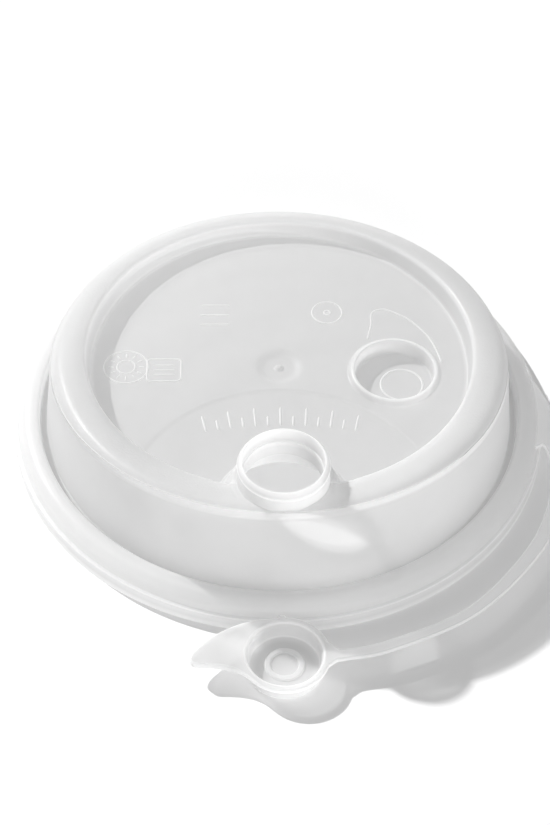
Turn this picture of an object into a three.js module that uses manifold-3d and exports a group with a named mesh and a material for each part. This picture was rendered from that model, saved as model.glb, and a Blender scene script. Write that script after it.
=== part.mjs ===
import * as THREE from 'three';
import { mergeVertices } from 'three/addons/utils/BufferGeometryUtils.js';
import Module from 'manifold-3d';

// Drinking-cup lid, one moulding in polypropylene. Millimetres, +Z up, spout toward -Y.
// The lid axis is x = 0, y = 0 and the skirt rests on z = 0 until the last step centres the box.

// Wall and roundness
const wall = 0.8;
const aroundLid = 84;
const aroundTube = 40;
const overlap = 0.3;

// Skirt, shoulder and the groove inside the shoulder
const skirtRadius = 47.5;
const bandHeight = 2.9;
const bandStep = 0.7;
const shoulderTop = bandHeight + 2.9;
const shoulderMiddle = skirtRadius - bandStep - 2.9;
const grooveOuter = skirtRadius - 4.6;
const grooveInner = grooveOuter - 1.4;
const grooveFloor = shoulderTop - 2.4;

// Upper wall: its top crease lies on a plane that rises toward the spout
const wallLean = 1.26;
const creaseRadius = grooveInner - wallLean;
const creaseHeight = 17.33;
const creaseSlope = 0.129;

// Crest of the ring round the dish, on a gentler plane
const ringWidth = 6.19;
const crestRadius = creaseRadius - ringWidth;
const crestHeight = 19.76;
const crestSlope = 0.051;

// Dish floor with the gate dimple
const floorTop = 15;
const floorRadius = crestRadius - 0.95;
const dimpleRadius = 4.3;
const dimpleDepth = 0.4;

// Spout, its tube just inside the crease
const lipRadius = 7.6;
const spoutY = -(creaseRadius - lipRadius - 0.14);
const boreRadius = 6.65;
const lipTop = 26.75;
const spoutFoot = 8.2;
const saddleRadius = 11.2;
const saddleTop = 21.5;

// Shallow drain area of the floor round the spout
const drainRadius = 27.5;
const drainDrop = 0.3;

// Blind parking pocket
const pocketX = 20.3;
const pocketY = -1.5;
const pocketRadius = 7.0;
const pocketRise = 0.7;
const pocketDepth = 3.3;

// Stopper on its strap
const fit = 0.05;
const plugRadius = boreRadius - fit;
const stopperY = -(skirtRadius + 7.6);
const stopperTop = 4.3;
const flangeRadius = 7.6;
const flangeThick = 1.0;
const stopperBottom = 0.3;
const wellTop = 6.3;
const wellRadius = 6.0;
const wellRib = 0.35;
const leafThick = 1.4;

// Lathe about +Z of a closed outline of points [radius, height, slope]
function turned(outline, segments, x = 0, y = 0) {
  const geometry = new THREE.LatheGeometry(
    outline.map(([radius, height]) => new THREE.Vector2(radius, height)), segments);
  geometry.rotateX(Math.PI / 2);
  const position = geometry.attributes.position;
  for (let i = 0; i < position.count; i += 1) {
    const slope = outline[i % outline.length][2] ?? 0;
    position.setZ(i, position.getZ(i) - slope * position.getY(i));
  }
  geometry.translate(x, y, 0);
  return geometry;
}

const wasm = await Module();
wasm.setup();

// Closed three.js geometry to a solid
function solid(geometry) {
  const bare = geometry.index ? geometry.toNonIndexed() : geometry.clone();
  bare.deleteAttribute('normal');
  bare.deleteAttribute('uv');
  const welded = mergeVertices(bare, 1e-4);
  const source = welded.index.array;
  const kept = [];
  for (let i = 0; i < source.length; i += 3) {
    const [a, b, c] = [source[i], source[i + 1], source[i + 2]];
    if (a !== b && b !== c && c !== a) kept.push(a, b, c);
  }
  const made = new wasm.Manifold(new wasm.Mesh({
    numProp: 3,
    vertProperties: new Float32Array(welded.attributes.position.array),
    triVerts: new Uint32Array(kept),
  }));
  return made;
}

function cylinder(radius, low, high, segments, x = 0, y = 0) {
  return solid(turned([[0, low], [radius, low], [radius, high], [0, high]], segments, x, y));
}

function slab(shape, low, thick) {
  const geometry = new THREE.ExtrudeGeometry(shape, {
    depth: thick, bevelEnabled: false, curveSegments: 10,
  });
  geometry.translate(0, 0, low);
  return solid(geometry);
}

// Shell of the lid: outer side from the resting edge to the dish, then the inner side back
const shellOutside = [
  [skirtRadius, 0],
  [skirtRadius - 0.1, bandHeight - 0.25],
  [skirtRadius - bandStep, bandHeight],
  [skirtRadius - bandStep - 0.5, shoulderTop - 1.5],
  [skirtRadius - bandStep - 1.5, shoulderTop - 0.45],
  [shoulderMiddle, shoulderTop],
  [grooveOuter, shoulderTop - 0.45],
  [grooveOuter - 0.15, grooveFloor + 0.3],
  [grooveInner + 0.4, grooveFloor],
  [grooveInner, grooveFloor + 0.5],
  [creaseRadius + 0.16, creaseHeight - 1.1, creaseSlope - 0.01],
  [creaseRadius, creaseHeight, creaseSlope],
  [creaseRadius - 0.64, creaseHeight + 1.22, 0.105],
  [creaseRadius - 1.54, crestHeight - 0.36, 0.08],
  [creaseRadius - 3.24, crestHeight + 0.19, 0.062],
  [crestRadius + 1.25, crestHeight + 0.29, 0.053],
  [crestRadius + 0.25, crestHeight + 0.05, crestSlope],
  [crestRadius - 0.25, crestHeight - 0.7, crestSlope],
  [floorRadius + 0.4, floorTop + 0.5],
  [floorRadius - 0.2, floorTop],
];
const ringUnder = [
  [creaseRadius - 3.39, crestHeight - 0.66, 0.062],
  [creaseRadius - 2.04, crestHeight - 1.11, 0.08],
  [creaseRadius - 1.24, creaseHeight + 0.62, 0.105],
  [creaseRadius - wall, creaseHeight - 0.3, creaseSlope],
];
const shellInside = [
  [floorRadius + 0.1, floorTop - wall],
  [floorRadius + 1.15, floorTop - 0.15],
  [crestRadius + 0.75, crestHeight - 1.2, crestSlope],
  [crestRadius + 1.3, crestHeight - 0.55, crestSlope + 0.001],
  ...ringUnder,
  [grooveInner - wall, grooveFloor - 0.3],
  [grooveInner, grooveFloor - wall],
  [grooveOuter + 0.1, grooveFloor - wall],
  [grooveOuter + 0.6, grooveFloor],
  [grooveOuter + 0.75, shoulderTop - wall - 0.35],
  [shoulderMiddle, shoulderTop - wall],
  [shoulderMiddle + 0.85, shoulderTop - wall - 0.25],
  [shoulderMiddle + 1.6, shoulderTop - wall - 1.0],
  [skirtRadius - bandStep - wall, bandHeight - 0.5],
  [skirtRadius - wall, bandHeight - 0.8],
  [skirtRadius - wall, 0],
];
const floorOutline = [
  [floorRadius + 0.3, floorTop],
  [dimpleRadius, floorTop],
  [dimpleRadius - 1.2, floorTop - dimpleDepth],
  [0.9, floorTop - dimpleDepth],
  [0.5, floorTop],
  [0, floorTop],
  [0, floorTop - wall - dimpleDepth],
  [dimpleRadius - 0.8, floorTop - wall - dimpleDepth],
  [dimpleRadius + 0.4, floorTop - wall],
  [floorRadius + 0.3, floorTop - wall],
];
const closed = (outline) => [...outline, outline[0]];
let lid = solid(turned(closed([...shellOutside, ...shellInside]), aroundLid));
lid = lid.add(solid(turned(closed(floorOutline), aroundLid)));

// Drain area: the floor steps down inside a circle about the spout, as far as the dish wall
const dishPlug = cylinder(floorRadius - 0.3, floorTop - 3, floorTop + 3, aroundLid);
const drainCut = cylinder(drainRadius, floorTop - drainDrop, floorTop + 1, 64, 0, spoutY);
const drainFill = cylinder(drainRadius + 0.4, floorTop - wall - drainDrop, floorTop - wall + overlap,
  64, 0, spoutY);
lid = lid.add(drainFill.intersect(dishPlug));
lid = lid.subtract(drainCut.intersect(dishPlug));

// Spout: a saddle that joins ring and dish, a short tube on it and a rounded lip
const spoutOutside = [
  [0, floorTop - 0.6],
  [saddleRadius, floorTop - 0.6],
  [saddleRadius - 1.0, floorTop + 1.6],
  [spoutFoot + 0.7, saddleTop - 2.3],
  [spoutFoot, saddleTop],
  [lipRadius, lipTop - 0.7],
  [lipRadius - 0.25, lipTop - 0.15],
  [lipRadius - 0.6, lipTop],
  [0, lipTop],
];
const hollowFoot = saddleRadius - wall - 0.5;
const spoutHollow = [
  [0, floorTop - 4],
  [hollowFoot, floorTop - 4],
  [hollowFoot, floorTop - 0.6],
  [spoutFoot + 0.7 - wall, saddleTop - 2.8],
  [boreRadius, saddleTop - 0.8],
  [boreRadius, lipTop - 0.5],
  [boreRadius + 0.3, lipTop + 0.01],
  [boreRadius + 0.3, lipTop + 1],
  [0, lipTop + 1],
];
// The saddle keeps inside the upper wall
const insideWall = solid(turned([
  [0, floorTop - 3],
  [creaseRadius - 0.2, floorTop - 3],
  [creaseRadius - 0.2, creaseHeight - 0.1, creaseSlope],
  [creaseRadius - 0.2, lipTop + 2],
  [0, lipTop + 2],
], aroundLid));
const spout = solid(turned(spoutOutside, aroundTube, 0, spoutY));
const tubeOnly = cylinder(lipRadius + 3, saddleTop + 1.2, lipTop + 1, aroundTube, 0, spoutY);
lid = lid.add(spout.intersect(insideWall.add(tubeOnly)));
const underRing = solid(turned([
  [0, 0],
  [creaseRadius - wall, 0],
  ...[...ringUnder].reverse(),
  [0, crestHeight - 0.66, 0.062],
], aroundLid));
const hollow = solid(turned(spoutHollow, aroundTube, 0, spoutY));
const boreCut = cylinder(boreRadius, floorTop - 4, lipTop - 0.4, aroundTube, 0, spoutY);
lid = lid.subtract(hollow.intersect(underRing)).subtract(boreCut);
lid = lid.subtract(hollow.intersect(cylinder(lipRadius, saddleTop, lipTop + 2, aroundTube, 0, spoutY)));

// Parking pocket: a cup sunk in the floor with a low raised rim
const pocketFloor = floorTop + pocketRise - pocketDepth;
lid = lid.add(solid(turned([
  [0, pocketFloor - wall],
  [pocketRadius + wall - 0.3, pocketFloor - wall],
  [pocketRadius + wall, pocketFloor - wall + 0.4],
  [pocketRadius + wall, floorTop - 0.4],
  [pocketRadius + 1.2, floorTop - 0.4],
  [pocketRadius + 1.1, floorTop],
  [pocketRadius + 0.5, floorTop + pocketRise],
  [0, floorTop + pocketRise],
], aroundTube, pocketX, pocketY)));
lid = lid.subtract(solid(turned([
  [0, pocketFloor],
  [pocketRadius - 0.3, pocketFloor],
  [pocketRadius, pocketFloor + 0.3],
  [pocketRadius, floorTop + pocketRise - 0.25],
  [pocketRadius + 0.2, floorTop + pocketRise + 0.01],
  [0, floorTop + pocketRise + 0.01],
], aroundTube, pocketX, pocketY)));

// Stopper: flange and hollow plug, with a ring on the floor of its well
const wellFloor = stopperBottom + wall;
const stopperOutline = [
  [0, stopperBottom],
  [plugRadius - 0.6, stopperBottom],
  [plugRadius, stopperBottom + 0.7],
  [plugRadius, stopperTop - flangeThick],
  [flangeRadius - 0.15, stopperTop - flangeThick],
  [flangeRadius, stopperTop - flangeThick + 0.25],
  [flangeRadius, stopperTop - 0.25],
  [flangeRadius - 0.2, stopperTop],
  [wellTop, stopperTop],
  [wellRadius, stopperTop - 0.4],
  [wellRadius - 0.1, wellFloor],
  [3.35, wellFloor],
  [3.2, wellFloor + wellRib],
  [2.7, wellFloor + wellRib],
  [2.5, wellFloor],
  [0, wellFloor],
];

// Leaf-shaped finger tab
const leaf = new THREE.Shape();
leaf.moveTo(-1.5, stopperY + 7.3);
leaf.bezierCurveTo(-7.5, stopperY + 7.2, -11.5, stopperY + 4.6, -14.6, stopperY + 1.2);
leaf.bezierCurveTo(-16.4, stopperY - 0.8, -15.9, stopperY - 2.3, -13.4, stopperY - 2.0);
leaf.bezierCurveTo(-10.5, stopperY - 2.2, -8.2, stopperY - 2.4, -5.4, stopperY - 4.9);
leaf.lineTo(-1.5, stopperY - 4.9);
leaf.closePath();

// Strap: leaves the skirt at a tangent, swings round the front and ends at the flange
const polar = (radius, degrees) => new THREE.Vector2(
  radius * Math.cos(degrees * Math.PI / 180), radius * Math.sin(degrees * Math.PI / 180));
const strap = new THREE.Shape();
const strapStart = polar(skirtRadius - 1.5, 15);
strap.moveTo(strapStart.x, strapStart.y);
const out = (gap, degrees) => polar(skirtRadius + gap, degrees);
strap.splineThru([
  out(-0.5, 8), out(1.8, -1), out(4.8, -13), out(7.1, -28), out(8.4, -40),
  out(9.6, -56), out(9.7, -72), out(9.5, -80),
  new THREE.Vector2(7.4, stopperY - 2.0), new THREE.Vector2(5.5, stopperY - 2.2),
]);
strap.lineTo(5.5, stopperY + 2.2);
strap.splineThru([
  new THREE.Vector2(7.4, stopperY + 2.0), out(7.5, -79.5), out(7.6, -72), out(7.6, -56),
  out(5.8, -38), out(4.1, -24.5), out(2.1, -15.5), out(0.5, -11.3), out(-0.2, -11.8),
  out(-1.5, -14),
]);
strap.lineTo(skirtRadius - 3, -4);
strap.closePath();
const strapLow = stopperTop - flangeThick;
const skirtCore = cylinder(skirtRadius - bandStep - 0.75, -1, shoulderTop, aroundLid);
const strapSolid = slab(strap, strapLow, flangeThick - 0.1).subtract(skirtCore);
const wellCore = cylinder(wellRadius + 0.25, -1, stopperTop + 1, aroundTube, 0, stopperY);
const nub = new THREE.BoxGeometry(1.3, 1.4, flangeThick - 0.2);
nub.translate(-0.4, stopperY + flangeRadius - 0.2, stopperTop - flangeThick / 2);

const tab = slab(leaf, stopperTop - leafThick, leafThick - 0.05);
lid = lid.add(strapSolid.subtract(wellCore));
lid = lid.add(tab.subtract(wellCore)).add(solid(nub).subtract(wellCore));
lid = lid.add(solid(turned(stopperOutline, aroundTube, 0, stopperY)));

// Solid back to a three.js mesh, centred on its box
function meshOf(body, name) {
  const result = body.getMesh();
  const geometry = new THREE.BufferGeometry();
  geometry.setAttribute('position', new THREE.BufferAttribute(
    new Float32Array(result.vertProperties), 3));
  geometry.setIndex(new THREE.BufferAttribute(new Uint32Array(result.triVerts), 1));
  const box = new THREE.Box3().setFromBufferAttribute(geometry.attributes.position);
  const middle = box.getCenter(new THREE.Vector3());
  geometry.translate(-middle.x, -middle.y, -box.min.z);
  geometry.computeVertexNormals();
  const mesh = new THREE.Mesh(geometry, new THREE.MeshStandardMaterial({
    color: 0xf1f2f2, roughness: 0.42, metalness: 0,
  }));
  mesh.name = name;
  return mesh;
}

const group = new THREE.Group();
group.name = 'cup_lid';
group.add(meshOf(lid, 'lid'));

export default group;
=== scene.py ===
import math
import bpy
import numpy as np
from mathutils import Matrix, Vector
from mathutils.geometry import delaunay_2d_cdt


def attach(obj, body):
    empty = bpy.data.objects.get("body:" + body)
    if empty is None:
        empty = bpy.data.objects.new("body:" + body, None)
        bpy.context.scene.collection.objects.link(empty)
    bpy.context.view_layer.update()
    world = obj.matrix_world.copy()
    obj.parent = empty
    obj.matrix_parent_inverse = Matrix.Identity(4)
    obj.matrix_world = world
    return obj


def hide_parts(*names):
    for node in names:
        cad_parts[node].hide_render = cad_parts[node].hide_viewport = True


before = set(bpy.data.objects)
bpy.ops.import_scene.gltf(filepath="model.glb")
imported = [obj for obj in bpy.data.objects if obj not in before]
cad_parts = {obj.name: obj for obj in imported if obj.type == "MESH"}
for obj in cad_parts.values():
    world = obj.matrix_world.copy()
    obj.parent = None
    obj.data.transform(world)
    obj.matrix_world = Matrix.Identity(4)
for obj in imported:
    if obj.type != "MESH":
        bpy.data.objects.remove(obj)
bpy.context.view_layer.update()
print("frame loaded")

# Everything below is laid out in millimetres about the lid axis; the row frame is centred on the box
mm = 0.001
axisShift = np.array([-1.739, 7.6, 0.0])


# sRGB hex to linear
def linearColour(code):
    parts = [int(code[i:i + 2], 16) / 255 for i in (0, 2, 4)]
    return [c / 12.92 if c <= 0.04045 else ((c + 0.055) / 1.055) ** 2.4 for c in parts] + [1.0]


def addNode(tree, kind, links=(), **values):
    node = tree.nodes.new(kind)
    for key, value in values.items():
        if hasattr(node, key):
            setattr(node, key, value)
        else:
            node.inputs[key.replace("_", " ")].default_value = value
    for socket, source in links:
        tree.links.new(source, node.inputs[socket])
    return node


# Eased step from 0 at a to 1 at b
def easedStep(value, a, b):
    t = np.clip((value - a) / (b - a), 0, 1)
    return t * t * (3 - 2 * t)


# Corners of a polyline become short quadratic curves; cuts[i] is how far back the curve starts
def softened(points, cuts, steps):
    points = [np.array(p, float) for p in points]
    line = [points[0]]
    for i in range(1, len(points) - 1):
        before, here, after = points[i - 1], points[i], points[i + 1]
        cut = cuts[i]
        if cut == 0:
            line.append(here)
            continue
        start = here + (before - here) * min(0.5, cut / np.linalg.norm((before - here)[:2]))
        end = here + (after - here) * min(0.5, cut / np.linalg.norm((after - here)[:2]))
        for t in np.linspace(0, 1, steps):
            line.append((1 - t) ** 2 * start + 2 * t * (1 - t) * here + t * t * end)
    line.append(points[-1])
    kept = [line[0]]
    for p in line[1:]:
        if np.linalg.norm((p - kept[-1])[:2]) > 0.01:
            kept.append(p)
    return np.array(kept)


# Adds points so that no step is longer than the given length
def refined(line, longest):
    out = [line[0]]
    for a, b in zip(line[:-1], line[1:]):
        count = max(1, int(math.ceil(np.linalg.norm((b - a)[:2]) / longest)))
        for k in range(1, count + 1):
            out.append(a + (b - a) * k / count)
    return np.array(out)


fullTurn = 2 * math.pi
around = 300
turn = np.linspace(0, fullTurn, around, endpoint=False)


# Row of the lathe at [radius, height, slope]: height falls by slope times y
def latheRows(line):
    r, z, s = line[:, 0:1], line[:, 1:2], line[:, 2:3]
    x = r * np.cos(turn)
    y = r * np.sin(turn)
    return np.stack([x, y, z - s * y], axis=-1)


# Quads between neighbouring rows of a closed grid
def gridFaces(rows, columns):
    i = np.arange(rows - 1)[:, None]
    j = np.arange(columns)[None, :]
    k = (j + 1) % columns
    a = i * columns + j
    b = i * columns + k
    c = (i + 1) * columns + k
    d = (i + 1) * columns + j
    return np.stack([a, b, c, d], axis=-1).reshape(-1, 4)


# Points nearer than this, in mm, become one
weld = 0.001


# Collects patches that share edge points, welds them and makes one mesh
class Patches:
    def __init__(self):
        self.points = []
        self.faces = []
        self.count = 0

    def add(self, points, faces):
        points = np.asarray(points, float).reshape(-1, 3)
        self.points.append(points)
        self.faces += [[int(v) + self.count for v in f] for f in faces]
        self.count += len(points)

    def grid(self, rows, flip=False):
        faces = gridFaces(rows.shape[0], rows.shape[1])
        self.add(rows, faces[:, ::-1] if flip else faces)

    def cap(self, row, height, flip=False):
        centre = row.mean(axis=0)
        centre[2] = height
        count = len(row)
        points = np.vstack([row, centre])
        faces = [[i, (i + 1) % count, count] for i in range(count)]
        self.add(points, [f[::-1] for f in faces] if flip else faces)

    # rim gives each point its share of sharp edge: above 0 it is milkier with a painted glow, below 0 it
    # takes painted grey shade, as in the groove
    def build(self, name, rim):
        points = np.vstack(self.points)
        _, first, back = np.unique(np.round(points / weld).astype(np.int64), axis=0,
                                   return_index=True, return_inverse=True)
        back = back.reshape(-1)
        places = (points[first] + axisShift) * mm
        faces = []
        for face in self.faces:
            ids = []
            for v in face:
                w = int(back[v])
                if w not in ids:
                    ids.append(w)
            if len(ids) > 2:
                faces.append(ids)
        mesh = bpy.data.meshes.new(name)
        mesh.from_pydata(places.tolist(), [], faces)
        mesh.validate()
        mesh.shade_smooth()
        placed = (np.array([v.co for v in mesh.vertices]) / mm) - axisShift
        mask = mesh.attributes.new("edge", "FLOAT", "POINT")
        mask.data.foreach_set("value", rim(placed).astype(np.float32))
        piece = bpy.data.objects.new(name, mesh)
        bpy.context.scene.collection.objects.link(piece)
        return piece


lid = {
    "skirt": 47.5, "band": 2.9, "step": 0.7, "wall": 0.8,
    "grooveOuter": 42.9, "grooveInner": 41.5, "grooveFloor": 3.4,
    "crease": (40.24, 17.33, 0.129), "creaseUnder": (39.44, 16.9, 0.129),
    "floor": 15.0, "drain": 26.8, "drainDrop": 0.14, "dimple": 0.45,
    "spoutY": -32.5, "crest": 6.98, "lip": 7.7, "lipTop": 26.74, "foot": 7.76,
    "bore": 6.6, "boreTop": 22.9, "apron": 12.2, "apronUnder": 11.0,
    "saddle": 6.6, "saddleFrom": 8.2, "saddleTo": 11.7,
    "pocket": (20.3, -1.5), "pocketRim": 8.7, "pocketFloor": 12.4, "boss": 8.4,
}
wall = lid["wall"]
dish = lid["floor"]
dishUnder = dish - wall

# Outer side of the top, crease to floor: [radius, height, slope]
topLine = refined(softened(
    [lid["crease"], (39.0, 19.6, 0.085), (36.2, 20.2, 0.057), (34.0, 20.05, 0.051),
     (33.4, dish, 0.0), (32.9, dish, 0.0), (32.6, dish, 0.0)],
    [0, 1.3, 1.2, 0.8, 0.55, 0, 0], 9), 0.5)
underLine = refined(softened(
    [lid["creaseUnder"], (38.35, 18.85, 0.085), (36.0, 19.4, 0.057), (34.75, 19.2, 0.051),
     (34.2, dishUnder, 0.0), (33.4, dishUnder, 0.0), (33.1, dishUnder, 0.0)],
    [0, 1.0, 1.0, 0.5, 0.5, 0, 0], 7), 0.6)

skirt = lid["skirt"]
ledge = skirt - lid["step"]
grooveOut = lid["grooveOuter"]
grooveIn = lid["grooveInner"]
grooveLow = lid["grooveFloor"]
bandTop = (skirt - 0.1, 2.75, 0)
# Inner side down to the resting edge, then the outer side up to the crease
sideLine = refined(softened(
    [lid["creaseUnder"], (grooveIn - wall, grooveLow - 0.3, 0), (grooveIn, grooveLow - wall, 0),
     (grooveOut + 0.1, grooveLow - wall, 0), (grooveOut + 0.6, grooveLow, 0),
     (grooveOut + 0.75, 4.65, 0), (ledge - 2.9, 5.0, 0), (ledge - 2.05, 4.75, 0),
     (ledge - 1.3, 4.0, 0), (ledge - wall, 2.4, 0), (skirt - wall, 2.1, 0), (skirt - wall, 0, 0),
     (skirt, 0, 0), bandTop, (ledge, lid["band"], 0), (ledge - 0.4, 4.4, 0),
     (ledge - 1.5, 5.55, 0), (ledge - 2.9, 5.85, 0), (grooveOut, 5.6, 0),
     (grooveOut - 0.15, grooveLow, 0), (grooveIn + 0.1, grooveLow, 0),
     (grooveIn, grooveLow + 1.2, 0), lid["crease"]],
    [0, 0.25, 0.2, 0.2, 0.25, 0.25, 0.4, 0.4, 0.4, 0.2, 0.15, 0.12,
     0.14, 0.22, 0.12, 0.6, 0.6, 0.6, 0.35, 0.3, 0.3, 0.3, 0], 6), 1.4)


# Height at radius r along a [radius, height, slope] line, tilted by y
def lineHeight(line, x, y):
    r = np.hypot(x, y)
    order = np.argsort(line[:, 0])
    z = np.interp(r, line[order, 0], line[order, 1])
    s = np.interp(r, line[order, 0], line[order, 2])
    return z - s * y


# Height of the line, less the drain step round the spout and the gate dimple; each pair is
# where a step starts and ends
def sunkHeight(line, x, y, drainStep, dishEnd, dimpleStep):
    r = np.hypot(x, y)
    toSpout = np.hypot(x, y - lid["spoutY"])
    inDrain = 1 - easedStep(toSpout, lid["drain"] + drainStep[0], lid["drain"] + drainStep[1])
    drain = lid["drainDrop"] * inDrain * (1 - easedStep(r, *dishEnd))
    return lineHeight(line, x, y) - drain - lid["dimple"] * (1 - easedStep(r, *dimpleStep))


# Top height, with the gate's nub on it
def topHeight(x, y):
    nub = 0.5 * (1 - easedStep(np.hypot(x, y), 0.3, 0.9))
    return sunkHeight(topLine, x, y, (-0.45, 0.45), (32.9, 33.3), (2.4, 4.4)) + nub


def underHeight(x, y):
    return sunkHeight(underLine, x, y, (-0.2, 0.8), (33.0, 33.4), (2.8, 4.8))


# Distance from the spout axis, along each angle, to a circle of given radius about the lid axis
def reachTo(radius, angles):
    sy = lid["spoutY"]
    b = sy * np.sin(angles)
    return -b + np.sqrt(b * b - sy * sy + radius * radius)


# Larger of two heights with a soft join of width k
def softMax(a, b, k):
    h = np.clip(0.5 + 0.5 * (b - a) / k, 0, 1)
    return a + (b - a) * h + k * h * (1 - h)


spoutAround = 144
spoutTurn = np.linspace(0, fullTurn, spoutAround, endpoint=False)
# Its apron ends just inside the crease
spoutEdge = np.minimum(lid["apron"], reachTo(40.05, spoutTurn))
spoutUnder = np.minimum(lid["apronUnder"], reachTo(39.25, spoutTurn))
footRadius = np.minimum(lid["foot"], spoutEdge - 0.03)


def spoutPoint(radius, height):
    x = radius * np.cos(spoutTurn)
    y = lid["spoutY"] + radius * np.sin(spoutTurn)
    return np.stack([x, y, np.broadcast_to(height, x.shape)], axis=-1)


# Foot of the spout: a low round shoulder that drops steeply to the floor
def saddle(radius):
    raised = dish + lid["saddle"] * (1 - easedStep(radius, lid["saddleFrom"], lid["saddleTo"]))
    return np.where(radius < lid["saddleTo"], raised, dish - (radius - lid["saddleTo"]) * 5)


def ringPoints(radius, count, x=0.0, y=0.0):
    angles = np.linspace(0, fullTurn, count, endpoint=False)
    return np.stack([x + radius * np.cos(angles), y + radius * np.sin(angles)], axis=-1)


# Points round the pocket, and round the stopper's plug
pocketAround = 96


def levelRing(radius, height, centre):
    ring = ringPoints(radius, pocketAround, *centre)
    return np.column_stack([ring, np.full(pocketAround, height)])


# Triangulates a plan so that the closed loops stay edges
def triangulated(points, loops, borders, mode):
    edges = [(int(a), int(b)) for loop in loops for a, b in zip(loop, np.roll(loop, -1))]
    found = delaunay_2d_cdt([Vector(p) for p in points], edges, borders, mode, 1e-5)
    flat = np.array([[v.x, v.y] for v in found[0]])
    return flat, np.array([f for f in found[2] if len(f) == 3])


# Lays a plan's triangles at a height, facing up, or down where flipped
def layFaces(patches, flat, faces, height, flip):
    placed = np.column_stack([flat, height(*flat.T)])
    a, b, c = (placed[faces[:, k]] for k in range(3))
    up = np.cross(b - a, c - a)[:, 2] > 0
    patches.add(placed, np.where((up != flip)[:, None], faces, faces[:, ::-1]))


# True for plan points farther from the spout axis than the reach at their angle, and a gap
def clearOfSpout(points, reach, gap):
    y = points[:, 1] - lid["spoutY"]
    angle = np.arctan2(y, points[:, 0]) % fullTurn
    limit = np.interp(angle, np.append(spoutTurn, fullTurn), np.append(reach, reach[0]))
    return np.hypot(points[:, 0], y) > limit + gap


# Height surface with two holes in it, the spout's and the pocket's
def heightPatch(patches, line, height, spoutReach, pocketReach, extra, flip):
    gap = 0.12
    points = latheRows(line)[:, :, :2].reshape(-1, 2)
    clear = clearOfSpout(points, spoutReach, gap)
    clear[:around] = True
    groups = [points[clear]]
    loops = [np.arange(around)]
    for loop in (spoutPoint(spoutReach, 0)[:, :2], ringPoints(pocketReach, pocketAround, *lid["pocket"])):
        loops.append(np.arange(len(loop)) + sum(len(group) for group in groups))
        groups.append(loop)
    for more in extra:
        free = clearOfSpout(more, spoutReach, gap)
        free &= np.hypot(*(more - lid["pocket"]).T) > pocketReach + gap
        groups.append(more[free])
    flat, faces = triangulated(np.vstack(groups), loops, [], 0)
    middle = flat[faces].mean(axis=1)
    outside = clearOfSpout(middle, spoutReach, 0)
    outside &= np.hypot(*(middle - lid["pocket"]).T) > pocketReach * 0.9995
    layFaces(patches, flat, faces[outside], height, flip)


# Arcs of the drain step, as far as the floor goes
def drainArcs(shifts, limit):
    arcs = []
    for shift in shifts:
        ring = ringPoints(lid["drain"] + shift, around, 0, lid["spoutY"])
        arcs.append(ring[np.hypot(ring[:, 0], ring[:, 1]) < limit])
    return arcs


# Extra points that keep the dimple round and the floor's mesh even
dimpleRings = [ringPoints(r, 60) for r in
               (5.6, 5.2, 4.8, 4.4, 4.0, 3.6, 3.2, 2.8, 2.4, 1.8, 1.1, 0.9, 0.75, 0.6, 0.45, 0.3, 0.12)]
floorRings = [ringPoints(r, int(8 * r)) for r in np.arange(6.6, 32, 2.0)]

lidPatches = Patches()
lidPatches.grid(latheRows(sideLine), flip=True)
heightPatch(lidPatches, topLine, topHeight, spoutEdge, lid["pocketRim"],
            dimpleRings + floorRings + drainArcs((-0.75, -0.45, -0.25, 0, 0.25, 0.45, 0.75), 32.5), False)
heightPatch(lidPatches, underLine, underHeight, spoutUnder, lid["boss"],
            dimpleRings[::2] + floorRings + drainArcs((-0.6, -0.2, 0.3, 0.8, 1.2), 32.9), True)
print("shell made")

# Spout, outside in: soft foot, tube, rounded lip, bore with a small ledge, hollow foot
lipBase = lid["lipTop"] - 1.45
joinShare = 0.12
spoutRows = []
for u in np.linspace(0, 1, 22):
    radius = spoutEdge + (footRadius - spoutEdge) * u
    row = spoutPoint(radius, 0)
    ground = topHeight(row[:, 0], row[:, 1])
    raised = softMax(ground, saddle(radius), 1.5)
    row[:, 2] = ground + (raised - ground) * easedStep(u, 0, joinShare)
    spoutRows.append(row)
footHeight = spoutRows[-1][:, 2]
for u in np.linspace(0, 1, 10)[1:]:
    spoutRows.append(spoutPoint(footRadius + (lid["lip"] - footRadius) * u,
                                footHeight + (lipBase - footHeight) * u))
# Small bead, bevel, rounded crest, then the bore with its step
crest = lid["crest"]
lipLine = softened([(lid["lip"], lipBase, 0), (lid["lip"] + 0.1, lipBase + 0.25, 0),
                    (lid["lip"] - 0.02, lipBase + 0.55, 0), (crest + 0.14, lid["lipTop"], 0),
                    (crest - 0.12, lid["lipTop"], 0), (crest - 0.16, 24.15, 0),
                    (lid["bore"] + 0.02, 23.95, 0), (lid["bore"], lid["boreTop"], 0)],
                   [0, 0.1, 0.12, 0.12, 0.12, 0.1, 0.1, 0], 8)
for radius, height, _ in lipLine[1:]:
    spoutRows.append(spoutPoint(radius, height))


# Row of the hollow under the foot, from the bore at 0 to the apron's end at 1
def hollowRow(u):
    radius = lid["bore"] + (spoutUnder - lid["bore"]) * u
    row = spoutPoint(radius, 0)
    ceiling = underHeight(row[:, 0], row[:, 1])
    raised = softMax(ceiling, np.minimum(20.9, saddle(radius + 0.85) - wall), 0.7)
    row[:, 2] = ceiling + (raised - ceiling) * easedStep(1 - u, 0, joinShare)
    return row


hollowTop = hollowRow(0.0)
for u in (0.35, 0.7, 0.92):
    spoutRows.append(spoutPoint(lid["bore"], lid["boreTop"] + (hollowTop[:, 2] - lid["boreTop"]) * u))
for u in np.linspace(0, 1, 20):
    spoutRows.append(hollowRow(u))
lidPatches.grid(np.array(spoutRows))

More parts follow.
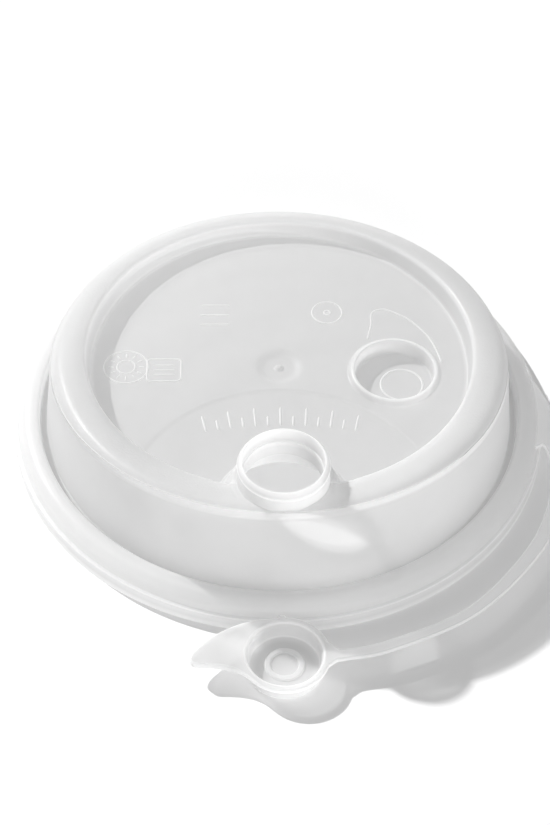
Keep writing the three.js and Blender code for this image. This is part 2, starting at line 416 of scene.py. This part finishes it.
# Parking pocket: low rounded rim, straight wall and flat floor, then the cup's outside below
low = lid["pocketFloor"]
pocketLine = softened([(lid["pocketRim"], dish, 0), (8.2, dish, 0), (7.6, 15.72, 0), (7.05, 15.72, 0),
                       (6.98, low, 0), (6.0, low, 0), (5.7, low, 0)],
                      [0, 0.3, 0.35, 0.2, 0.45, 0, 0], 7)
pocketRows = np.array([levelRing(r, z, lid["pocket"]) for r, z, _ in pocketLine])
lidPatches.grid(pocketRows)
lidPatches.cap(pocketRows[-1], low)
low -= wall
bossLine = softened([(lid["boss"], dishUnder, 0), (7.8, dishUnder, 0), (7.78, low, 0), (6.6, low, 0),
                     (6.2, low, 0)], [0, 0.3, 0.5, 0, 0], 7)
bossRows = np.array([levelRing(r, z, lid["pocket"]) for r, z, _ in bossLine])
lidPatches.grid(bossRows, flip=True)
lidPatches.cap(bossRows[-1], low, flip=True)


# Bell of the distance to a circle [radius, height, slope] about an upright axis
def nearCircle(points, circle, width, axis=(0.0, 0.0)):
    radius, height, slope = circle
    r = np.hypot(points[:, 0] - axis[0], points[:, 1] - axis[1])
    level = points[:, 2] + slope * points[:, 1]
    return np.exp(-((r - radius) ** 2 + (level - height) ** 2) / width ** 2)


# Edge share of the lid: painted glow on its rims and creases, which are milkier too, a little painted glow
# on the whole skirt, and below 0 in the groove, where it paints grey shade
def lidRim(points):
    spoutAxis = (0.0, lid["spoutY"])
    paintedGlowAndMilk = [nearCircle(points, (skirt, 0.0, 0), 0.3), nearCircle(points, bandTop, 0.25),
              0.7 * nearCircle(points, lid["crease"], 0.2),
              0.6 * nearCircle(points, (33.9, 19.7, 0.051), 0.5),
              0.35 * nearCircle(points, (33.3, dish + 0.1, 0), 0.4),
              nearCircle(points, (lid["crest"], lid["lipTop"], 0), 0.3, spoutAxis),
              nearCircle(points, (lid["lip"] + 0.05, lipBase + 0.25, 0), 0.22, spoutAxis),
              nearCircle(points, (lid["bore"] + 0.02, 24.0, 0), 0.2, spoutAxis),
              0.8 * nearCircle(points, (7.35, 15.7, 0), 0.35, lid["pocket"])]
    # Painted shade: the groove's floor goes below 0, which greys the colour there
    dark = nearCircle(points, (0.5 * (grooveIn + grooveOut), grooveLow + 0.1, 0), 0.5)
    # Painted glow: the skirt, which lies in the lid's shadow, glows a little and is milkier
    skirtGlowAndMilk = 0.3 * easedStep(np.hypot(points[:, 0], points[:, 1]), 43.0, 43.6) * (points[:, 2] < 6.2)
    return np.clip(np.maximum(np.max(paintedGlowAndMilk, axis=0), skirtGlowAndMilk) - dark, -1, 1)


lidBody = lidPatches.build("lidShell", lidRim)
print("spout and pocket made", len(lidBody.data.vertices), len(lidBody.data.polygons))

stopper = {
    "y": -55.1, "top": 4.3, "thick": 1.0, "flange": 7.58, "hinge": 46.3,
    "plug": 6.6, "plugLow": 0.3, "wellLow": 1.1, "strapDrop": 0.1, "leafDrop": 0.4,
}


# Uniform Catmull-Rom curve through points, ends held
def throughPoints(points, steps=12):
    points = np.array(points, float)
    out = []
    last = len(points) - 1
    for i in range(last):
        p0, p1 = points[max(i - 1, 0)], points[i]
        p2, p3 = points[i + 1], points[min(i + 2, last)]
        for t in np.arange(steps) / steps:
            v0, v1 = (p2 - p0) * 0.5, (p3 - p1) * 0.5
            out.append((2 * p1 - 2 * p2 + v0 + v1) * t ** 3
                       + (-3 * p1 + 3 * p2 - 2 * v0 - v1) * t ** 2 + v0 * t + p1)
    out.append(points[-1])
    return np.array(out)


def polar(radius, degrees, cx=0.0, cy=0.0):
    a = math.radians(degrees)
    return [cx + radius * math.cos(a), cy + radius * math.sin(a)]


def arcPoints(radius, start, end, count, cx, cy):
    return np.array([polar(radius, a, cx, cy) for a in np.linspace(start, end, count)])


def bezier(a, b, c, d):
    t = np.linspace(0, 1, 14)[:, None]
    a, b, c, d = (np.array(p, float) for p in (a, b, c, d))
    return (1 - t) ** 3 * a + 3 * t * (1 - t) ** 2 * b + 3 * t * t * (1 - t) * c + t ** 3 * d


sy = stopper["y"]
flange = stopper["flange"]
hinge = stopper["hinge"]
outerEdge = throughPoints([polar(hinge, 13), polar(47.0, 8), polar(49.3, -1), polar(52.3, -13),
                           polar(54.6, -28), polar(55.9, -40), polar(57.1, -56), polar(57.2, -72),
                           polar(57.0, -80), [8.6, sy - 1.35], polar(flange, -19, 0, sy)])
innerEdge = throughPoints([polar(flange, 19, 0, sy), [8.6, sy + 1.35], polar(55.0, -79.5),
                           polar(55.1, -72), polar(55.1, -56), polar(53.3, -38), polar(51.6, -24.5),
                           polar(49.6, -15.5), polar(48.0, -11.3), polar(47.2, -11.6),
                           polar(hinge, -12.6)])
leafUpper = bezier([-1.32, sy + 7.46], [-7.5, sy + 7.2], [-11.5, sy + 4.6], [-14.6, sy + 1.2])
leafTip = bezier([-14.6, sy + 1.2], [-16.4, sy - 0.8], [-15.9, sy - 2.3], [-13.4, sy - 2.0])
leafLower = bezier([-13.4, sy - 2.0], [-10.5, sy - 2.2], [-8.2, sy - 2.4], [-5.82, sy - 4.87])
nub = np.array([polar(flange, 96, 0, sy), [-0.95, sy + 8.0], [0.15, sy + 8.0],
                polar(flange, 87, 0, sy)])
outline = np.vstack([
    outerEdge, arcPoints(flange, -22, -139, 60, 0, sy), leafLower[::-1][1:], leafTip[::-1][1:],
    leafUpper[::-1][1:], nub, arcPoints(flange, 84, 22, 34, 0, sy), innerEdge,
    arcPoints(hinge, -11, 11.5, 24, 0, 0)])


# Closed outline with no step longer than asked and no repeated point
def evenly(points, longest=0.5):
    closed = np.vstack([points, points[:1]])
    out = []
    for a, b in zip(closed[:-1], closed[1:]):
        gap = np.linalg.norm(b - a)
        if gap < 0.02:
            continue
        count = math.ceil(gap / longest)
        for k in range(count):
            out.append(a + (b - a) * k / count)
    return np.array(out)


outline = evenly(outline)
following = np.roll(outline, -1, axis=0)
if np.sum(outline[:, 0] * following[:, 1] - following[:, 0] * outline[:, 1]) < 0:
    outline = outline[::-1]
along = np.roll(outline, -1, axis=0) - np.roll(outline, 1, axis=0)
along /= np.linalg.norm(along, axis=1)[:, None]
inward = np.stack([-along[:, 1], along[:, 0]], axis=-1)


# Height of the flat upper and lower sides: the strap is a little thinner, the leaf thicker
def flatTop(x, y):
    away = np.hypot(x, y - sy)
    return stopper["top"] - stopper["strapDrop"] * easedStep(away, 8.4, 9.6) * (x > 0)


def flatLow(x, y):
    return stopper["top"] - stopper["thick"] - stopper["leafDrop"] * easedStep(-x, 7.0, 9.0)


# Level plan between an outer and a round inner loop
def loopPatch(patches, outer, inner, height, flip):
    loops = (np.arange(len(outer)), np.arange(len(inner)) + len(outer))
    flat, faces = triangulated(np.vstack([outer, inner]), loops, [[*range(len(outer))]], 1)
    centre = inner.mean(axis=0)
    away = np.hypot(*(flat[faces].mean(axis=1) - centre).T)
    layFaces(patches, flat, faces[away > np.hypot(*(inner[0] - centre)) * 0.999], height, flip)


# Rounded rim: how far in from the outline, and how far below or above the flat side
strapPatches = Patches()
rounding = ((0.32, 0.0), (0.22, 0.0), (0.13, 0.03), (0.05, 0.1), (0.0, 0.22))
rimRows = []
for inset, drop in rounding:
    ring = outline + inward * inset
    rimRows.append(np.column_stack([ring, flatTop(*ring.T) - drop]))
for inset, lift in rounding[::-1]:
    ring = outline + inward * inset
    rimRows.append(np.column_stack([ring, flatLow(*ring.T) + lift]))
strapPatches.grid(np.array(rimRows), flip=True)

# Well with a raised ring on its floor, and the plug round it
high = stopper["top"]
low = stopper["wellLow"]
wellLine = softened([(6.9, high, 0), (6.55, high, 0), (6.15, 3.6, 0), (6.0, low, 0), (4.6, low, 0),
                     (3.42, low, 0), (3.28, low + 0.38, 0), (2.42, low + 0.38, 0), (2.28, low, 0),
                     (1.2, low, 0)], [0, 0.2, 0.3, 0.3, 0, 0.12, 0.14, 0.14, 0.12, 0], 6)
wellRows = np.array([levelRing(r, z, (0, sy)) for r, z, _ in wellLine])
strapPatches.grid(wellRows)
strapPatches.cap(wellRows[-1], low)
high -= stopper["thick"]
low = stopper["plugLow"]
plugLine = softened([(6.95, high, 0), (stopper["plug"], high, 0), (6.58, low + 0.02, 0), (5.2, low, 0),
                     (4.8, low, 0)], [0, 0.15, 0.65, 0, 0], 7)
plugRows = np.array([levelRing(r, z, (0, sy)) for r, z, _ in plugLine])
strapPatches.grid(plugRows, flip=True)
strapPatches.cap(plugRows[-1], low, flip=True)
loopPatch(strapPatches, rimRows[0][:, :2], wellRows[0][:, :2], flatTop, False)
loopPatch(strapPatches, rimRows[-1][:, :2], plugRows[0][:, :2], flatLow, True)


# Edge share of the strap piece: painted glow on its outline and the stopper's rings, least on the leaf; a
# little painted glow over the strap, which lies in the lid's shadow, and painted grey shade on the sunlit
# leaf
def strapRim(points):
    axis = (0.0, sy)
    near = np.zeros(len(points))
    for part in np.array_split(np.arange(len(points)), 40):
        gaps = points[part, None, :2] - outline[None, :, :]
        near[part] = np.sqrt((gaps ** 2).sum(axis=2).min(axis=1))
    onLeaf = easedStep(-points[:, 0], 6.0, 9.0)
    paintedGlowAndMilk = np.max([(0.8 - 0.6 * onLeaf) * np.exp(-(near / 0.18) ** 2),
                     nearCircle(points, (6.45, 4.25, 0), 0.35, axis),
                     0.7 * nearCircle(points, (5.95, 1.2, 0), 0.3, axis),
                     0.7 * nearCircle(points, (2.85, 1.45, 0), 0.5, axis),
                     0.8 * nearCircle(points, (6.4, 0.45, 0), 0.4, axis)], axis=0)
    # Painted light on the strap in shadow, painted shade on the sunlit leaf
    share = 0.1 + 0.35 * easedStep(points[:, 0], 7.0, 9.0) - 0.5 * onLeaf
    inside = np.maximum(paintedGlowAndMilk - 0.02, share) + np.minimum(share, 0)
    return np.clip(np.where(near < 0.3, paintedGlowAndMilk, inside), -1, 1)


strapBody = strapPatches.build("strapAndStopper", strapRim)
print("strap made")

# Where each group of marks has its middle or start; share is the painted glow over the marks, which also
# makes them milkier
marks = {
    "tickFoot": -14.0, "tickPitch": 2.15, "dial": (-27.0, 0.1), "frame": (-20.3, -0.7),
    "bars": (-22.2, -0.7), "longBars": (-14.0, 12.9), "ring": (8.9, 13.3), "share": 0.55,
}


# Raised line on a floor: a low half-round section along a path
def raisedLine(patches, path, ground, width, height, looped=False):
    section = 7
    path = np.array(path, float)
    if looped:
        tangent = np.roll(path, -1, axis=0) - np.roll(path, 1, axis=0)
    else:
        tangent = np.gradient(path, axis=0)
    tangent /= np.linalg.norm(tangent, axis=1)[:, None]
    side = np.stack([-tangent[:, 1], tangent[:, 0]], axis=-1)
    base = ground(path[:, 0], path[:, 1])
    fade = np.ones(len(path))
    if not looped:
        fade[0] = fade[-1] = 0.3
    rows = []
    for a in np.linspace(0, math.pi, section):
        place = path + side * (math.cos(a) * width / 2 * fade)[:, None]
        rows.append(np.column_stack([place, base - 0.01 + math.sin(a) * height * fade]))
    rows = np.array(rows)
    if looped:
        patches.grid(rows, flip=True)
    else:
        count = len(path)
        faces = gridFaces(section, count).reshape(section - 1, count, 4)[:, :-1].reshape(-1, 4)
        patches.add(rows, faces[:, ::-1])


# Straight raised line from a place, by a run, on the dish floor
def raisedBar(start, run, count, width, height):
    steps = np.linspace(0, 1, count)[:, None]
    raisedLine(markPatches, np.array(start) + steps * np.array(run), topHeight, width, height)


# Rectangle with round corners
def frameLoop(cx, cy, w, h, r):
    corners = []
    for x, y, start in ((1, 1, 0), (-1, 1, 90), (-1, -1, 180), (1, -1, 270)):
        corners.append(arcPoints(r, start, start + 90, 8, cx + x * (w / 2 - r), cy + y * (h / 2 - r)))
    return evenly(np.vstack(corners), 0.4)


# Fan of ticks on a slight arc, long and short in turn
markPatches = Patches()
for k in range(-6, 7):
    x = marks["tickPitch"] * k
    long = 4.4 - 0.02 * k * k if k % 2 == 0 else 2.3
    raisedBar((x, marks["tickFoot"] - 0.0079 * x ** 2), (0.034 * k * long, long), 10, 0.4, 0.16)
for radius in (3.9, 1.6):
    raisedLine(markPatches, ringPoints(radius, 72, *marks["dial"]), topHeight, 0.3, 0.12, True)
for degrees in range(0, 360, 30):
    raisedBar(polar(2.2, degrees, *marks["dial"]), polar(1.0, degrees), 5, 0.28, 0.12)
raisedLine(markPatches, frameLoop(*marks["frame"], 6.0, 5.3, 0.7), topHeight, 0.32, 0.13, True)
for dy in (1.1, 0.0, -1.1):
    raisedBar((marks["bars"][0], marks["bars"][1] + dy), (3.8, 0), 10, 0.32, 0.12)
for dy in (2.4, 0.0, -2.4):
    raisedBar((marks["longBars"][0], marks["longBars"][1] + dy), (5.4, 0), 12, 0.34, 0.13)
for radius in (2.7, 0.55):
    raisedLine(markPatches, ringPoints(radius, 48, *marks["ring"]), topHeight, 0.32, 0.13, True)

# Curved line round the back of the pocket, and a ring on the pocket's floor
px, py = lid["pocket"]
leafLine = throughPoints([[px - 4.4, py + 8.1], [px - 3.6, py + 11.6], [px - 3.5, py + 13.9],
                          [px - 3.0, py + 15.0], [px - 1.8, py + 15.5], [px - 0.6, py + 15.4],
                          [px + 1.75, py + 14.1], [px + 3.6, py + 12.6], [px + 6.0, py + 9.5],
                          [px + 7.2, py + 7.0], [px + 8.0, py + 4.5], [px + 8.5, py + 2.2]], 8)
raisedLine(markPatches, leafLine, topHeight, 0.36, 0.14)
raisedLine(markPatches, ringPoints(3.7, 72, px + 1.4, py - 0.7),
           lambda x, y: np.full(x.shape, lid["pocketFloor"]), 0.4, 0.14, True)
markBody = markPatches.build("mouldedMarks", lambda points: np.full(len(points), marks["share"]))
print("marks made")


# Injection-moulded polypropylene, natural: milky where thick or seen edge-on, ring spark-eroded matt;
# painted glow on sharp edges, painted grey shade in the groove and on the leaf
def makePolypropylene():
    made = bpy.data.materials.new("frosted polypropylene, injection moulded")
    made.use_nodes = True
    tree = made.node_tree
    tree.nodes.clear()
    place = addNode(tree, "ShaderNodeTexCoord").outputs["Object"]
    # Slow flow haze about 12 mm across, and mould grain about 0.4 mm
    haze = addNode(tree, "ShaderNodeTexNoise", [("Vector", place)], Scale=85.0, Detail=2.0)
    grain = addNode(tree, "ShaderNodeTexNoise", [("Vector", place)], Scale=2500.0, Detail=1.0)
    # 1 on the raised ring, 0 elsewhere: its middle is 37.2 mm out and it is about 6 mm wide
    centred = addNode(tree, "ShaderNodeVectorMath", [(0, place)], operation="SUBTRACT")
    centred.inputs[1].default_value = [c * mm for c in axisShift]
    level = addNode(tree, "ShaderNodeVectorMath", [(0, centred.outputs[0])], operation="MULTIPLY")
    level.inputs[1].default_value = (1, 1, 0)
    radius = addNode(tree, "ShaderNodeVectorMath", [(0, level.outputs[0])], operation="LENGTH")
    fromRing = addNode(tree, "ShaderNodeMath", [(0, radius.outputs["Value"])], operation="SUBTRACT")
    fromRing.inputs[1].default_value = 37.2 * mm
    offRing = addNode(tree, "ShaderNodeMath", [(0, fromRing.outputs[0])], operation="ABSOLUTE")
    ring = addNode(tree, "ShaderNodeMapRange", [("Value", offRing.outputs[0])],
                   From_Min=2.6 * mm, From_Max=3.4 * mm, To_Min=1.0, To_Max=0.0)
    # Grain depth 0.12, and 0.5 more on the ring
    depth = addNode(tree, "ShaderNodeMath", [(0, ring.outputs["Result"])], operation="MULTIPLY_ADD")
    depth.inputs[1].default_value = 0.5
    depth.inputs[2].default_value = 0.12
    bump = addNode(tree, "ShaderNodeBump",
                   [("Height", grain.outputs["Fac"]), ("Strength", depth.outputs[0])],
                   Distance=0.08 * mm)
    rough = addNode(tree, "ShaderNodeMapRange", [("Value", haze.outputs["Fac"])],
                    To_Min=0.26, To_Max=0.4)
    # Painted shade: where the edge share is below 0, in the groove and on the leaf, the colour is mixed
    # toward grey; a Mix node has its colour sockets at these places
    firstColour, secondColour, mixedColour = 6, 7, 2
    bend = addNode(tree, "ShaderNodeAttribute", attribute_name="edge")
    paintedGreyShade = addNode(tree, "ShaderNodeMapRange", [("Value", bend.outputs["Fac"])],
                       From_Min=0.0, From_Max=-1.0)
    tone = addNode(tree, "ShaderNodeMix", [("Factor", paintedGreyShade.outputs["Result"])], data_type="RGBA")
    tone.inputs[firstColour].default_value = linearColour("f5f5f5")
    tone.inputs[secondColour].default_value = linearColour("cccccc")
    coat = addNode(tree, "ShaderNodeBsdfPrincipled",
                   [("Normal", bump.outputs["Normal"]), ("Roughness", rough.outputs["Result"]),
                    ("Base Color", tone.outputs[mixedColour])], IOR=1.49)
    through = addNode(tree, "ShaderNodeBsdfTranslucent",
                      [("Normal", bump.outputs["Normal"]), ("Color", tone.outputs[mixedColour])])
    clear = addNode(tree, "ShaderNodeBsdfTransparent", Color=linearColour("fbfbfb"))
    body = addNode(tree, "ShaderNodeMixShader", [(1, coat.outputs[0]), (2, through.outputs[0])],
                   Fac=0.6)
    facing = addNode(tree, "ShaderNodeLayerWeight", Blend=0.5)
    # Share of clear passage: most head-on, little at a grazing view or at a convex edge
    share = addNode(tree, "ShaderNodeMapRange", [("Value", facing.outputs["Facing"])],
                    To_Min=0.6, To_Max=0.1)
    varied = addNode(tree, "ShaderNodeMapRange", [("Value", haze.outputs["Fac"])],
                     From_Min=0.3, From_Max=0.7, To_Min=0.94, To_Max=1.06)
    edge = addNode(tree, "ShaderNodeMapRange", [("Value", bend.outputs["Fac"])], To_Min=1.0, To_Max=0.15)
    # Light scatters forward through the wall, so more of it passes than the eye sees clearly
    seen = addNode(tree, "ShaderNodeLightPath")
    blurred = addNode(tree, "ShaderNodeMapRange", [("Value", seen.outputs["Is Camera Ray"])],
                      To_Min=1.0, To_Max=0.68)
    sharp = addNode(tree, "ShaderNodeMath", [(0, share.outputs["Result"]), (1, blurred.outputs["Result"])],
                    operation="MULTIPLY")
    part = addNode(tree, "ShaderNodeMath", [(0, sharp.outputs[0]), (1, varied.outputs["Result"])],
                   operation="MULTIPLY")
    passed = addNode(tree, "ShaderNodeMath", [(0, part.outputs[0]), (1, edge.outputs["Result"])],
                     operation="MULTIPLY", use_clamp=True)
    whole = addNode(tree, "ShaderNodeMixShader", [("Fac", passed.outputs[0]), (1, body.outputs[0]),
                                                  (2, clear.outputs[0])])
    # Painted highlight: sharp edges, marks, skirt and strap glow faintly by their edge share, standing for
    # light led along inside the wall
    glow = addNode(tree, "ShaderNodeMapRange", [("Value", bend.outputs["Fac"])], To_Max=0.15)
    rim = addNode(tree, "ShaderNodeEmission", [("Strength", glow.outputs["Result"])])
    total = addNode(tree, "ShaderNodeAddShader", [(0, whole.outputs[0]), (1, rim.outputs[0])])
    addNode(tree, "ShaderNodeOutputMaterial", [("Surface", total.outputs[0])])
    made.cycles.emission_sampling = "NONE"
    return made


# Painted board, matt white; seen by the camera it is lifted to paper white and keeps the shadow
def makeFloor():
    made = bpy.data.materials.new("matt white painted board")
    made.use_nodes = True
    tree = made.node_tree
    tree.nodes.clear()
    place = addNode(tree, "ShaderNodeTexCoord").outputs["Object"]
    tooth = addNode(tree, "ShaderNodeTexNoise", [("Vector", place)], Scale=1500.0, Detail=3.0)
    bump = addNode(tree, "ShaderNodeBump", [("Height", tooth.outputs["Fac"])],
                   Strength=0.05, Distance=0.1 * mm)
    paint = addNode(tree, "ShaderNodeBsdfPrincipled", [("Normal", bump.outputs["Normal"])],
                    Base_Color=linearColour("f3f3f3"), Roughness=0.85)
    lift = addNode(tree, "ShaderNodeEmission", Color=linearColour("ffffff"), Strength=0.05)
    seen = addNode(tree, "ShaderNodeLightPath")
    dark = addNode(tree, "ShaderNodeEmission", Strength=0.0)
    lifted = addNode(tree, "ShaderNodeMixShader", [(0, seen.outputs["Is Camera Ray"]),
                                                   (1, dark.outputs[0]), (2, lift.outputs[0])])
    whole = addNode(tree, "ShaderNodeAddShader", [(0, paint.outputs[0]), (1, lifted.outputs[0])])
    addNode(tree, "ShaderNodeOutputMaterial", [("Surface", whole.outputs[0])])
    return made


polypropylene = makePolypropylene()
for piece in (lidBody, strapBody, markBody):
    piece.data.materials.append(polypropylene)
    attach(piece, "root")
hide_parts("lid")
print("materials made")

# Floor, 0.05 mm below the lid so that the two faces don't flicker
floorMesh = bpy.data.meshes.new("floor")
wide = 4.0
level = -0.05 * mm
floorMesh.from_pydata([(x, y, level) for x, y in ((-wide, -wide), (wide, -wide), (wide, wide),
                                                  (-wide, wide))], [], [(0, 1, 2, 3)])
floor = bpy.data.objects.new("floor", floorMesh)
bpy.context.scene.collection.objects.link(floor)
floorMesh.materials.append(makeFloor())

# Camera of the photograph, fitted to the lid's rings: 450 mm away, 47.5 degrees up, 1.7 degrees
# round; the focal length is in pixels of a picture 825 high, and side and rise are in mm
view = {"far": 450.0, "up": 47.487, "roll": 0.864, "side": -0.603, "rise": 1.993, "round": -1.7,
        "focal": 2483.96, "tall": 825, "sensor": 36}
up = math.radians(view["up"])
back = Vector((0, -math.cos(up), math.sin(up)))
right = Vector((1, 0, 0))
above = right.cross(-back)
spot = back * view["far"] + right * view["side"] + above * view["rise"]
roll = math.radians(view["roll"])
right, above = (right * math.cos(roll) + above * math.sin(roll),
                above * math.cos(roll) - right * math.sin(roll))
axes = Matrix((right, above, back)).transposed()
spin = Matrix.Rotation(math.radians(view["round"]), 3, "Z")
pose = (spin @ axes).to_4x4()
pose.translation = (spin @ spot + Vector(axisShift)) * mm
cameraData = bpy.data.cameras.new("camera")
cameraData.sensor_width = view["sensor"]
cameraData.lens = view["focal"] * view["sensor"] / view["tall"]
camera = bpy.data.objects.new("camera", cameraData)
camera.matrix_world = pose
bpy.context.scene.collection.objects.link(camera)
bpy.context.scene.camera = camera


# Parallel lamp: heading is where its light travels on plan, height how steeply it falls
def addLamp(name, energy, spread, heading, height):
    data = bpy.data.lights.new(name, "SUN")
    data.energy = energy
    data.angle = math.radians(spread)
    lamp = bpy.data.objects.new(name, data)
    along, fall = math.radians(heading), math.radians(height)
    beam = Vector((math.cos(along) * math.cos(fall), math.sin(along) * math.cos(fall), -math.sin(fall)))
    lamp.rotation_mode = "QUATERNION"
    lamp.rotation_quaternion = beam.to_track_quat("-Z", "Y")
    bpy.context.scene.collection.objects.link(lamp)


# Key light from the upper left behind the lid, and a broad white card low in front
addLamp("key", 3.3, 1.8, -43, 38.5)
addLamp("front card", 1.25, 50, 85, 9)

world = bpy.data.worlds.new("studio")
bpy.context.scene.world = world
world.use_nodes = True
tree = world.node_tree
tree.nodes.clear()
soft = addNode(tree, "ShaderNodeBackground", Color=linearColour("ffffff"), Strength=0.37)
white = addNode(tree, "ShaderNodeBackground", Color=linearColour("ffffff"), Strength=1.0)
path = addNode(tree, "ShaderNodeLightPath")
skyMix = addNode(tree, "ShaderNodeMixShader", [(0, path.outputs["Is Camera Ray"]),
                                               (1, soft.outputs[0]), (2, white.outputs[0])])
addNode(tree, "ShaderNodeOutputWorld", [("Surface", skyMix.outputs[0])])

bpy.context.scene.view_settings.view_transform = "Standard"
print("floor, camera and light made")
